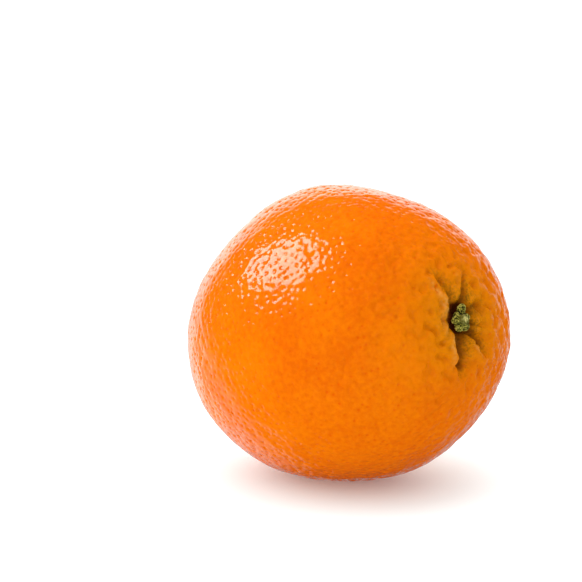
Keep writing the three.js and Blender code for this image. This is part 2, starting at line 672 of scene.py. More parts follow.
@dataclass(frozen=True)
class StemSkin:
    """The skin of the stem end: its shape first, then its tints, which are stain, painted shade and painted
    highlight.

    Sizes are in millimetres and angles in degrees. A range gives the values at which something
    starts and is full. Furrow widths, and the places along one, are shares of the furrow's own.
    """

    dish_depth: float = 1.3
    dish_radius: float = 11.0
    hollow_depth: float = 2.8
    hollow_radius: float = 4.05
    hollow_steepness: float = 8.0
    hollow_shift: float = 0.13  # how much wider it is on one side than in the mean
    hollow_shift_angle: float = 25.0
    pock_grain: float = 2.5  # the soft pocks that crowd round the stem
    pock_depth: float = 1.7
    mean_pock: float = 0.22  # how much of the skin they take up, so that they don't thin the fruit
    pock_range: tuple[float, float] = (-0.1, 0.6)
    pocked_range: tuple[float, float] = (3.0, 8.0)
    crumples: tuple[tuple[float, float], ...] = ((2.6, 0.60), (1.2, 0.34))  # grain, height
    mean_crumple: float = 0.25
    crumple_radius: float = 13.0
    crumpled_range: tuple[float, float] = (2.0, 5.0)
    waver: float = 4.0  # how many degrees a furrow strays to each side
    steep_width: float = 0.5
    soft_width: float = 1.15
    narrowing: float = 0.35
    fading: float = 0.5
    lip_place: float = 1.1
    lip_width: float = 0.55
    furrows: tuple[Furrow, ...] = (
        Furrow(338, 4, 16.0, 1.8, 2.1, 0.30, Side.AHEAD),
        Furrow(22, 2, 18.0, 1.5, 2.4, 0.40, Side.AHEAD),
        Furrow(86, 0, 8.5, 0.5, 0.9, 0.05, Side.BEHIND),
        Furrow(117, 7, 10.5, 0.6, 1.1, 0.10, Side.BEHIND),
        Furrow(165, 14, 17.0, 2.6, 2.7, 0.35, Side.BEHIND),
        Furrow(217, 4, 15.0, 2.3, 1.7, 0.65, Side.BEHIND),
        Furrow(244, 4, 9.0, 1.2, 0.8, 0.10, Side.BEHIND),
        Furrow(299, -6, 12.5, 1.1, 2.0, 0.10, Side.AHEAD),
    )
    dents: tuple[Dent, ...] = (
        Dent(10.8, 71, 1.3, 0.480),
        Dent(12.7, 82, 1.0, 0.256),
        Dent(11.6, 133, 1.5, 0.448),
        Dent(14.5, 49, 1.2, 0.352),
        Dent(9.2, 9, 1.1, 0.400),
        Dent(15.5, 356, 1.3, 0.384),
        Dent(8.4, 302, 1.1, 0.448),
        Dent(9.3, 287, 1.0, 0.384),
        Dent(9.0, 316, 1.2, 0.416),
        Dent(8.6, 226, 1.1, 0.384),
        Dent(16.5, 108, 1.3, 0.224),
        Dent(18.0, 62, 1.4, 0.224),
        Dent(14.0, 152, 1.1, 0.224),
        Dent(17.0, 20, 1.2, 0.256),
        Dent(11.6, 177, 1.8, 0.880),
        Dent(6.5, 285, 3.2, 0.800),
        Dent(11.6, 216, 1.0, 0.640),
    )
    ochre_radius: float = 14.0
    olive_radius: float = 6.8
    olive_shade_shift: float = 0.6  # how far towards +Y the olive lies off the stem axis: painted shade on the hollow's shaded side
    # the olive along the furrows' floors is partly speckle and partly painted shade
    furrow_olive_shade: float = 0.45
    furrow_olive_shade_range: tuple[float, float] = (0.2, 0.9)
    # painted shade: how strongly the furrows, the hollow and the dents are darkened, and from what depth
    furrow_painted_shade: float = 0.7
    furrow_painted_shade_range: tuple[float, float] = (0.7, 2.2)
    hollow_painted_shade_range: tuple[float, float] = (0.25, 0.9)
    dent_painted_shade: float = 0.3
    dent_painted_shade_range: tuple[float, float] = (0.32, 0.8)
    rim_distance: float = 5.8  # the edge of the hollow, which gets a painted highlight
    rim_width: float = 1.0
    rim_highlight: float = 0.1
    rim_highlight_lean: float = 0.1  # how much brighter its painted highlight is towards -Y, the lit side, than in the mean
    rim_highlight_flecks: float = 0.55
    rim_sunk_range: tuple[float, float] = (0.15, 0.6)
    # painted highlight along the furrows' lips
    lip_highlight: float = 0.25
    lip_highlight_flecks: float = 0.6
    lip_range: tuple[float, float] = (0.12, 0.4)
    fleck_grain: float = 0.8

    def furrow_relief(self, distance: np.ndarray, angle: np.ndarray) -> tuple[np.ndarray, np.ndarray]:
        """Works out the furrows.

        Args:
            distance: How far each point is from the stem axis.
            angle: Its angle about the axis, with the furrows' straying added.

        Returns:
            How far the furrows sink each point, and how far their lips raise it.
        """
        sunk, raised = np.zeros_like(distance), np.zeros_like(distance)
        opening = smoothstep(distance, 0, self.hollow_radius)
        for furrow in self.furrows:
            outward = np.clip((distance - self.hollow_radius) / (furrow.reach - self.hollow_radius), 0, 1)
            turn = signed_turn(angle, furrow.angle + furrow.bend * outward)
            across = distance * np.sin(np.radians(np.clip(turn, -90, 90))) * furrow.steep.value
            fade = opening * (1 - smoothstep(distance, furrow.reach * self.fading, furrow.reach))
            width = np.where(across > 0, self.steep_width * furrow.width, self.soft_width * furrow.width)
            sunk += furrow.depth * bell(across, width * (1 - self.narrowing * outward)) * fade
            crest = across - self.lip_place * furrow.width
            raised += furrow.lip * bell(crest, self.lip_width * furrow.width) * fade
        return sunk, raised

    def dent_relief(self, around: Around) -> tuple[np.ndarray, np.ndarray]:
        """Works out the dents.

        Args:
            around: The points of the smooth form.

        Returns:
            How far the dents sink each point, and how much painted shade their floors get, from 0 to 1.
        """
        sunk, dent_shaded = np.zeros_like(around.distance), np.zeros_like(around.distance)
        for dent in self.dents:
            turn = np.radians(signed_turn(around.angle, dent.angle))
            along = 2 * around.distance * dent.distance * np.cos(turn)
            apart = np.sqrt(around.distance**2 + dent.distance**2 - along)
            depth = dent.depth * bell(apart, dent.radius)
            sunk += depth
            dent_shaded += smoothstep(depth, *self.dent_painted_shade_range)
        return sunk, dent_shaded

    def relief(
        self, around: Around, stray: np.ndarray, near_stem: np.ndarray
    ) -> tuple[np.ndarray, dict[str, np.ndarray]]:
        """Works out how far the skin of the stem end stands proud of the smooth form, and its tints.

        Args:
            around: The points of the smooth form.
            stray: How far the furrows stray at each point, from -1 to 1.
            near_stem: How near the stem each point is, from 0 to 1.

        Returns:
            The rise of each point, and the named tints from 0 to 1.
        """
        distance = around.distance
        lopsided = 1 + self.hollow_shift * np.cos(np.radians(around.angle - self.hollow_shift_angle))
        hollow = well(distance, self.hollow_radius * lopsided, self.hollow_steepness)
        sunk, raised = self.furrow_relief(distance, around.angle + self.waver * stray)
        dented, dent_shaded = self.dent_relief(around)
        pocks = smoothstep(noise_at(around.points, self.pock_grain, Pattern.POCKS), *self.pock_range)
        pocked = near_stem * smoothstep(distance, *self.pocked_range)
        crumpled = bell(distance, self.crumple_radius) * smoothstep(distance, *self.crumpled_range)

        rise = -self.dish_depth * bell(distance, self.dish_radius) - self.hollow_depth * hollow
        rise += raised - sunk - dented
        rise -= self.pock_depth * (pocks - self.mean_pock) * pocked
        for grain, height in self.crumples:
            folds = np.abs(noise_at(around.points, grain, Pattern.CRUMPLES))
            rise += height * (folds - self.mean_crumple) * crumpled

        # painted shade, darkest where the furrows, the hollow and the dents sink
        painted_crease_shade = self.furrow_painted_shade * smoothstep(sunk, *self.furrow_painted_shade_range)
        painted_crease_shade += smoothstep(hollow, *self.hollow_painted_shade_range) + self.dent_painted_shade * dent_shaded
        # olive speckle round the hollow, shifted towards its shaded side and laid along the furrows as
        # painted shade too
        olive_distance = np.hypot(around.points[:, 1] - self.olive_shade_shift, around.points[:, 2])
        olive = bell(olive_distance, self.olive_radius)
        olive += self.furrow_olive_shade * smoothstep(sunk, *self.furrow_olive_shade_range)
        # painted highlight on the hollow's edge, brighter on the lit side, and on the furrows' lips
        flecks = noise_at(around.points, self.fleck_grain, Pattern.PALE_FLECKS)
        painted_rim_highlight = self.rim_highlight + self.rim_highlight_lean * np.sin(np.radians(around.angle))
        painted_rim_highlight += self.rim_highlight_flecks * flecks
        painted_rim_highlight *= bell(distance - self.rim_distance, self.rim_width)
        painted_rim_highlight *= 1 - smoothstep(sunk, *self.rim_sunk_range)
        lips = smoothstep(raised - sunk, *self.lip_range)
        painted_rim_highlight += lips * (self.lip_highlight + self.lip_highlight_flecks * flecks)
        tints = {
            "ochre": bell(distance, self.ochre_radius),
            "olive": np.clip(olive, 0, 1),
            "painted_rim_highlight": np.clip(painted_rim_highlight, 0, 1),
            "painted_crease_shade": np.clip(painted_crease_shade, 0, 1),
            "scar": np.zeros_like(distance),
        }
        return rise, tints


@dataclass(frozen=True)
class BlossomSkin:
    """The skin of the blossom end: a low nose, and a small navel closed by its own tiny twin fruit.

    Sizes are in millimetres.
    """

    nose_rise: float = 0.7
    nose_radius: float = 10.0
    navel_depth: float = 1.8
    navel_radius: float = 3.2
    navel_steepness: float = 4.0
    twin_radius: float = 2.1
    twin_rise: float = 1.3
    eye_depth: float = 0.3  # the pinprick in the middle of the twin
    eye_radius: float = 0.6
    folds: int = 6
    fold_stray: float = 70.0
    pucker_height: float = 0.22
    pucker_width: float = 1.6
    crumple_grain: float = 1.6
    crumple_height: float = 0.35
    crumple_radius: float = 5.0
    ochre: float = 0.4
    ochre_radius: float = 7.0
    # painted shade: a dark ring on the navel's inner wall
    painted_crease_shade: float = 0.45
    shade_ring_place: float = 0.85  # as a share of the navel's radius
    shade_ring_width: float = 0.6
    scar_radius: float = 1.5
    scar_edge: float = 0.8
    scar_grain: float = 0.9
    scar_stray: float = 1.2

    def relief(self, around: Around, stray: np.ndarray) -> tuple[np.ndarray, dict[str, np.ndarray]]:
        """Works out how far the skin of the blossom end stands proud, and its tints.

        Args:
            around: The points of the smooth form.
            stray: How far the folds stray at each point, from -1 to 1.

        Returns:
            The rise of each point, and the named tints from 0 to 1.
        """
        distance = around.distance
        navel = well(distance, self.navel_radius, self.navel_steepness)
        twin = well(distance, self.twin_radius, self.navel_steepness)
        puckers = np.cos(np.radians(around.angle * self.folds + self.fold_stray * stray))
        crumples = np.abs(noise_at(around.points, self.crumple_grain, Pattern.NAVEL_CRUMPLES))
        rise = self.nose_rise * bell(distance, self.nose_radius) - self.navel_depth * navel
        rise += self.twin_rise * twin - self.eye_depth * bell(distance, self.eye_radius)
        rise += self.pucker_height * puckers * bell(distance - self.navel_radius, self.pucker_width)
        rise += self.crumple_height * crumples * bell(distance, self.crumple_radius)
        ring = distance - self.shade_ring_place * self.navel_radius
        ragged = self.scar_stray * noise_at(around.points, self.scar_grain, Pattern.SCAR)
        tints = {
            "ochre": self.ochre * bell(distance, self.ochre_radius),
            "olive": np.zeros_like(distance),
            "painted_rim_highlight": np.zeros_like(distance),
            "painted_crease_shade": self.painted_crease_shade * bell(ring, self.shade_ring_width),
            "scar": smoothstep(self.scar_radius - distance + ragged, 0, self.scar_edge),
        }
        return rise, tints


@dataclass
class Fruit:
    """The fruit: peel and flesh, one solid grown as one piece.

    Sizes are in millimetres and angles in degrees.
    """

    half_length: float = 44.7
    half_width: float = 36.8
    blossom_share: float = 0.017  # how much fuller the blossom half is than the stem half
    stem_raise: float = 14.0
    swells: tuple[Swell, ...] = (
        Swell((-0.08, -0.06, 0.99), 21, 1.15),
        Swell((0.37, 0.46, 0.8), 18, -0.85),
        Swell((-0.5, -0.54, 0.67), 17, -0.8),
        Swell((-0.62, -0.72, -0.3), 17, 0.65),
        Swell((0.35, 0.37, -0.86), 24, 0.6),
        Swell((0.17, 0.2, -0.96), 15, 0.7),
        Swell((-0.42, -0.52, -0.74), 14, 0.6),
        Swell((0.62, 0.73, -0.26), 22, 1.1),
    )
    stem_skin: StemSkin = StemSkin()
    blossom_skin: BlossomSkin = BlossomSkin()
    stray_grain: float = 4.5
    cell_rounds: int = 6  # rounds of splitting that bring the peel's cells to about 1.5 mm
    cell_size: float = 1.5
    cell_jitter: float = 0.42  # how far a cell's middle strays, as a share of its size
    cell_easing: float = 0.25  # how far a cell is then drawn back to the middle of its neighbours
    gland_apart: float = 1.40  # no two large glands are nearer than this
    gland_depth: float = 0.26
    gland_radius: float = 0.52
    least_gland: float = 0.5  # how deep the shallowest large gland is, against the deepest
    minor_gland: float = 0.2  # how deep the small glands between are, against the large ones
    gland_tint: float = 0.75  # how strongly a gland is tinted in the mean
    gland_patches: tuple[float, float] = (8.0, 0.5)  # the grain and share of each drift of the tint
    gland_flecks: tuple[float, float] = (2.0, 0.8)
    stem_gland_tint: float = -0.5  # how much more it is tinted by the stem
    pebbles: tuple[tuple[float, float], ...] = ((2.0, 0.09), (4.2, 0.16), (9.0, 0.16))  # grain, height
    stem_pebbling: float = 2.2  # how much coarser the peel is near the stem than elsewhere
    stem_pebbling_radius: float = 17.0
    stem_gland_width: float = 0.7  # how much wider, and how much deeper, its glands are there
    stem_gland_depth: float = 0.8
    flat_softness: float = 0.25  # how softly the peel turns into the flat spot that it rests on
    flat_easing: float = 1.2  # how high that turn is felt
    flat_reach: float = 1.5  # above this the peel is as it grew
    centre: Vector = field(default_factory=Vector)  # in the frame, found when the fruit is built

    def tip(self) -> Matrix:
        """The turn from the fruit's own axes to the frame's."""
        return Matrix.Rotation(-math.radians(self.stem_raise), 3, "Y")

    def smooth_form(self, sphere: np.ndarray) -> np.ndarray:
        """Stretches a unit sphere to the fruit's overall form.

        Args:
            sphere: Points on the unit sphere, the stem's pole at +X.

        Returns:
            Points in millimetres in the fruit's own axes.
        """
        along = sphere[:, :1]
        rings = self.half_width * (1 - self.blossom_share * along) * sphere[:, 1:]
        return np.hstack([self.half_length * along, rings])

    def swelling(self, points: np.ndarray) -> np.ndarray:
        """How far the broad swellings raise each point of the smooth form."""
        outward = points / np.linalg.norm(points, axis=1, keepdims=True)
        rise = np.zeros(len(points))
        for swell in self.swells:
            towards = np.array(swell.towards) / np.linalg.norm(swell.towards)
            offset = np.degrees(np.arccos(np.clip(outward @ towards, -1, 1)))
            rise += swell.rise * bell(offset, swell.spread)
        return rise

    def relief(
        self, around: Around, near_stem: np.ndarray
    ) -> tuple[np.ndarray, dict[str, np.ndarray]]:
        """Works out how far the peel stands proud of the smooth form, and its tints.

        Args:
            around: The points of the smooth form.
            near_stem: How near the stem each point is, from 0 to 1.

        Returns:
            The rise of each point, and the named tints from 0 to 1.
        """
        stray = noise_at(around.points, self.stray_grain, Pattern.STRAY)
        stem, stem_tints = self.stem_skin.relief(around, stray, near_stem)
        blossom, blossom_tints = self.blossom_skin.relief(around, stray)
        rise = self.swelling(around.points) + np.where(around.stem_half, stem, blossom)
        tints = {
            name: np.where(around.stem_half, tint, blossom_tints[name]) for name, tint in stem_tints.items()
        }
        return rise, tints

    def build(self) -> bpy.types.Object:
        """Builds the fruit, fits it to its CAD node and rests it on its flat spot.

        Returns:
            The fruit's object.
        """
        rng = np.random.default_rng(SEED)
        bm = bmesh.new()
        bmesh.ops.create_icosphere(bm, subdivisions=self.cell_rounds, radius=1.0)
        cells = len(bm.verts)
        unit = math.sqrt(self.half_length * self.half_width)
        sphere = vertex_points(bm)
        sphere += rng.uniform(-1, 1, sphere.shape) * self.cell_jitter * self.cell_size / unit
        sphere /= np.linalg.norm(sphere, axis=1, keepdims=True)
        move_vertices(bm, sphere)
        ease(bm, self.cell_easing)
        large = self.pick_large_glands(bm, rng, self.gland_apart / unit)
        bmesh.ops.subdivide_edges(bm, edges=bm.edges[:], cuts=2, use_grid_fill=True)

        sphere = vertex_points(bm)
        sphere /= np.linalg.norm(sphere, axis=1, keepdims=True)
        points = self.smooth_form(sphere)
        around = Around.measure(points)
        near_stem = np.where(around.stem_half, bell(around.distance, self.stem_pebbling_radius), 0)
        rise, tints = self.relief(around, near_stem)
        strength = np.where(
            large, rng.uniform(self.least_gland, 1.0, cells), self.minor_gland * rng.random(cells)
        )
        plain = 1 - np.maximum(tints["painted_crease_shade"], tints["scar"])
        width = self.gland_radius * (1 + self.stem_gland_width * near_stem)
        pit = self.pits(points, np.flatnonzero(large), strength, width)
        pit[:cells] = np.maximum(pit[:cells], strength)
        rise -= self.gland_depth * (1 + self.stem_gland_depth * near_stem) * pit * plain
        tints["pit"] = pit * plain
        tints["gland"] = pit * self.tint_of_glands(points, near_stem) * plain
        coarseness = 1 + self.stem_pebbling * near_stem
        for index, (grain, height) in enumerate(self.pebbles):
            rise += height * coarseness * noise_at(points, grain, index * Pattern.PEBBLES)
        length = np.linalg.norm(points, axis=1, keepdims=True)
        points *= 1 + rise[:, None] / length
        points = self.fit_to_frame(points @ np.array(self.tip()).T)
        move_vertices(bm, points * MM)
        for name, values in tints.items():
            set_attribute(bm, name, values)
        return object_from(bm, "fruit_peel")

    def tint_of_glands(self, points: np.ndarray, near_stem: np.ndarray) -> np.ndarray:
        """How strongly the glands at each point are tinted, from 0 to 1."""
        patch_grain, patch_share = self.gland_patches
        fleck_grain, fleck_share = self.gland_flecks
        tint = self.gland_tint + patch_share * noise_at(points, patch_grain, Pattern.GLAND_PATCHES)
        tint += fleck_share * noise_at(points, fleck_grain, Pattern.GLAND_FLECKS)
        return np.clip(tint + self.stem_gland_tint * near_stem, 0, 1)

    def pits(
        self, points: np.ndarray, glands: np.ndarray, strength: np.ndarray, width: np.ndarray
    ) -> np.ndarray:
        """Sinks a soft-edged pit round each large gland.

        Args:
            points: The peel's vertices in millimetres.
            glands: Which of them are large glands.
            strength: How deep each cell's pit is, from 0 to 1.
            width: How wide a pit is at each vertex, in millimetres.

        Returns:
            The depth of the nearest pit at each vertex, from 0 to 1.
        """
        tree = KDTree(len(glands))
        for gland in glands.tolist():
            tree.insert(points[gland].tolist(), gland)
        tree.balance()
        nearest = [tree.find(point)[1:] for point in points.tolist()]
        owner = np.array([index for index, _ in nearest])
        apart = np.array([distance for _, distance in nearest])
        return strength[owner] * bell(apart, width)

    def pick_large_glands(self, bm: bmesh.types.BMesh, rng: np.random.Generator, apart: float) -> np.ndarray:
        """Picks the cells that hold a large oil gland, at random but never too near each other.

        Args:
            bm: The unit sphere, one vertex to a cell.
            rng: The source of chance.
            apart: The least distance between two of them, on the unit sphere.

        Returns:
            True or False for each cell.
        """
        bm.verts.ensure_lookup_table()
        bm.verts.index_update()
        large = np.zeros(len(bm.verts), bool)
        for index in rng.permutation(len(bm.verts)).tolist():
            vertex = bm.verts[index]
            near = (e.other_vert(vertex).index for e in vertex.link_edges if e.calc_length() < apart)
            large[index] = not any(large[other] for other in near)
        return large

    def fit_to_frame(self, points: np.ndarray) -> np.ndarray:
        """Brings the fruit into its CAD node's box, its flat spot on the ground.

        Args:
            points: The peel in millimetres, tipped but centred on the fruit's own centre.

        Returns:
            The peel in millimetres in the frame.
        """
        low, high = (np.array(corner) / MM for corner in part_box("fruit"))
        own_low, own_high = points.min(axis=0), points.max(axis=0)
        scale = (high - low) / (own_high - own_low)
        scale[2] = 1.0
        LOG.info("fruit scaled by %s to fit its node", scale.round(4))
        shift = (low + high) / 2 - scale * (own_low + own_high) / 2
        shift[2] = high[2] - scale[2] * own_high[2]
        self.centre = Vector(shift * MM)
        points = scale * points + shift
        height, soft = points[:, 2], self.flat_softness
        eased = soft * np.logaddexp(0, height / soft) - soft * math.log(2) * bell(height, self.flat_easing)
        points[:, 2] = np.where(height < self.flat_reach, np.maximum(eased, 0), height)
        return points


# The stem end ----------------------------------------------------------------------------------


@dataclass(frozen=True)
class Lump:
    """A rounded lump of the calyx, placed by distance from the stem axis, angle and height."""

    distance: float
    angle: float
    height: float
    radii: tuple[float, float, float]  # outward, round the axis, along the axis


@dataclass
class Calyx:
    """The green button in the stem hollow: five dried sepals fused round the stem's foot.

    Sizes are in millimetres. Heights are from the floor of the hollow.
    """

    place: Matrix
    lumps: tuple[Lump, ...] = (
        Lump(0.0, 0, 0.75, (2.3, 2.3, 0.85)),
        Lump(2.45, 342, 0.95, (1.35, 1.20, 0.85)),
        Lump(1.50, 40, 1.05, (0.90, 0.80, 0.75)),
        Lump(1.65, 92, 1.10, (1.15, 1.20, 0.95)),
        Lump(1.75, 150, 1.05, (1.35, 1.30, 0.90)),
        Lump(1.75, 212, 1.10, (1.35, 1.35, 0.90)),
        Lump(1.55, 274, 1.05, (1.30, 1.25, 0.85)),
    )
    lump_rounds: int = 4  # rounds of splitting that make a lump smooth enough
    voxel: float = 0.09
    fusing_rounds: int = 2
    crust_grain: float = 1.3
    crust_height: float = 0.28
    fine_crust_grain: float = 1.3 / 3
    fine_crust_height: float = 0.12
    cleft_rounds: int = 14  # rounds of easing that leave only the calyx's broad form
    cleft_depth: float = 0.13  # from the lowest cleft that is told apart to the highest ridge

    def build(self) -> bpy.types.Object:
        """Builds the calyx from its lumps, fused and roughened.

        Returns:
            The calyx's object.
        """
        bm = bmesh.new()
        for lump in self.lumps:
            turn = math.radians(lump.angle)
            matrix = (
                Matrix.Rotation(turn, 4, "Z")
                @ Matrix.Translation((0, lump.distance, lump.height))
                @ Matrix.Diagonal((lump.radii[1], lump.radii[0], lump.radii[2], 1))
            )
            bmesh.ops.create_icosphere(bm, subdivisions=self.lump_rounds, radius=1.0, matrix=matrix)
        fused = object_from(bm, "calyx_lumps")
        remesh = fused.modifiers.new("fuse", "REMESH")
        remesh.mode = "VOXEL"
        remesh.voxel_size = self.voxel
        solid = bpy.data.meshes.new_from_object(fused.evaluated_get(bpy.context.evaluated_depsgraph_get()))
        bpy.data.objects.remove(fused)
        bm = bmesh.new()
        bm.from_mesh(solid)
        for _ in range(self.fusing_rounds):
            ease(bm, HALFWAY)
        points, normals = vertex_points(bm), vertex_normals(bm)
        crust = self.crust_height * noise_at(points, self.crust_grain)
        crust += self.fine_crust_height * noise_at(points, self.fine_crust_grain, Pattern.FINE_CRUST)
        move_vertices(bm, points + normals * crust[:, None])
        set_attribute(bm, "height", self.height_above_mean(bm))
        bmesh.ops.transform(bm, matrix=self.place @ Matrix.Scale(MM, 4), verts=bm.verts[:])
        return object_from(bm, "calyx_button")

    def height_above_mean(self, bm: bmesh.types.BMesh) -> np.ndarray:
        """Finds which places stand proud and which are clefts.

        Args:
            bm: The calyx in its own millimetres.

        Returns:
            0 in a cleft, 0.5 on an even place and 1 on a ridge, one to a vertex.
        """
        even = bm.copy()
        for _ in range(self.cleft_rounds):
            ease(even, HALFWAY)
        proud = np.einsum("ij,ij->i", vertex_points(bm) - vertex_points(even), vertex_normals(bm))
        even.free()
        return np.clip(0.5 + proud / self.cleft_depth, 0, 1)


@dataclass
class StemStub:
    """The clipped end of the stem, standing in the middle of the calyx.

    Sizes are in millimetres. Heights are from the floor of the hollow.
    """

    place: Matrix
    radius: float = 1.1
    foot: float = 1.3
    top: float = 2.75
    sides: int = 40
    steps: int = 6
    bark_width: float = 1.1  # its radius with the bark on, as a share of its radius
    rings: int = 5
    ring_width: float = 0.17  # as a share of its radius
    dimple_depth: float = 0.22
    dimple_width: float = 0.45  # as a share of its radius
    roughness: float = 0.15
    rough_grain: float = 0.5
    upright: float = 1.6  # how much rougher it is along its axis than across
    face_slack: float = 0.01  # how far below its top the cut face is still found
    ragged: float = 0.4  # how far the bark's inner edge strays over the cut face
    ragged_grain: float = 0.6
    bark_edge: tuple[float, float] = (0.4, 0.75)  # where bark begins and is full, as shares of its radius
    bark_tone: float = 0.85  # how brown the bark is in the mean
    bark_change: float = 0.3
    bark_grain: float = 0.45

    def build(self) -> bpy.types.Object:
        """Builds the stub by raising and insetting a disc, then roughening it.

        Returns:
            The stub's object.
        """
        bm = bmesh.new()
        bmesh.ops.create_circle(bm, cap_ends=True, radius=self.bark_width * self.radius, segments=self.sides)
        bmesh.ops.translate(bm, vec=(0, 0, self.foot), verts=bm.verts[:])
        face = bm.faces[:][0]
        rise = (self.top - self.foot) / self.steps
        cap = bmesh.ops.extrude_face_region(bm, geom=[face])
        cap_face = next(item for item in cap["geom"] if isinstance(item, bmesh.types.BMFace))
        bmesh.ops.reverse_faces(bm, faces=[face])
        bmesh.ops.translate(bm, vec=(0, 0, rise), verts=cap_face.verts[:])
        for _ in range(self.steps - 1):
            more = bmesh.ops.extrude_discrete_faces(bm, faces=[cap_face])
            cap_face = more["faces"][0]
            bmesh.ops.translate(bm, vec=(0, 0, rise), verts=cap_face.verts[:])
        return self.finish(bm, cap_face)

    def finish(self, bm: bmesh.types.BMesh, cap_face: bmesh.types.BMFace) -> bpy.types.Object:
        """Rings the cut face, roughens the stub and places it.

        Args:
            bm: The stub as a plain column.
            cap_face: Its cut face.

        Returns:
            The stub's object.
        """
        ring = self.ring_width * self.radius
        for _ in range(self.rings):
            bmesh.ops.inset_region(bm, faces=[cap_face], thickness=ring, use_even_offset=True)
        bmesh.ops.poke(bm, faces=[f for f in bm.faces if len(f.verts) > 4])
        bmesh.ops.recalc_face_normals(bm, faces=bm.faces[:])
        points = vertex_points(bm)
        from_axis = np.hypot(points[:, 0], points[:, 1])
        on_face = points[:, 2] > self.top - self.face_slack
        dimple = self.dimple_depth * bell(from_axis, self.dimple_width * self.radius)
        points[:, 2] -= np.where(on_face, dimple, 0)
        shake = noise_at(points, self.rough_grain, Pattern.SHAKEN_STUB)
        points += self.roughness * shake[:, None] * np.array([1.0, 1.0, self.upright])
        move_vertices(bm, points)
        ragged = from_axis + self.ragged * noise_at(points, self.ragged_grain, Pattern.RAGGED_BARK)
        begins, full = (share * self.radius for share in self.bark_edge)
        bark = np.where(on_face, smoothstep(ragged, begins, full), 1.0)
        change = np.minimum(noise_at(points, self.bark_grain, Pattern.BARK_TONE), 0.5)
        bark *= self.bark_tone + self.bark_change * change
        set_attribute(bm, "bark", bark)
        bmesh.ops.transform(bm, matrix=self.place @ Matrix.Scale(MM, 4), verts=bm.verts[:])
        return object_from(bm, "stem_end")


def stem_place(fruit: Fruit) -> Matrix:
    """The stem end's own frame, its origin on the floor of the hollow and +Z out along the stem.

    Args:
        fruit: The fruit, already built.

    Returns:
        The matrix that takes metres in that frame to metres in the shared one.
    """
    low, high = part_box("stem_stub")
    tip = fruit.tip()
    columns = (tip @ Vector((0, 1, 0)), tip @ Vector((0, 0, 1)), tip @ Vector((1, 0, 0)))
    turn = Matrix(columns).transposed().to_4x4()
    stub_middle_height = 2.45 * MM
    origin = (low + high) / 2 - columns[2] * stub_middle_height
    return Matrix.Translation(origin) @ turn


# The studio ------------------------------------------------------------------------------------


@dataclass(frozen=True)
class Panel:
    """A white panel that the fruit only mirrors.

    It stands towards a direction, given as how far right, up and back to the camera it points, and
    brightens from the first to the second of two cosines of the angle away from its middle.
    """

    towards: tuple[float, float, float]
    brightness: float
    edges: tuple[float, float]


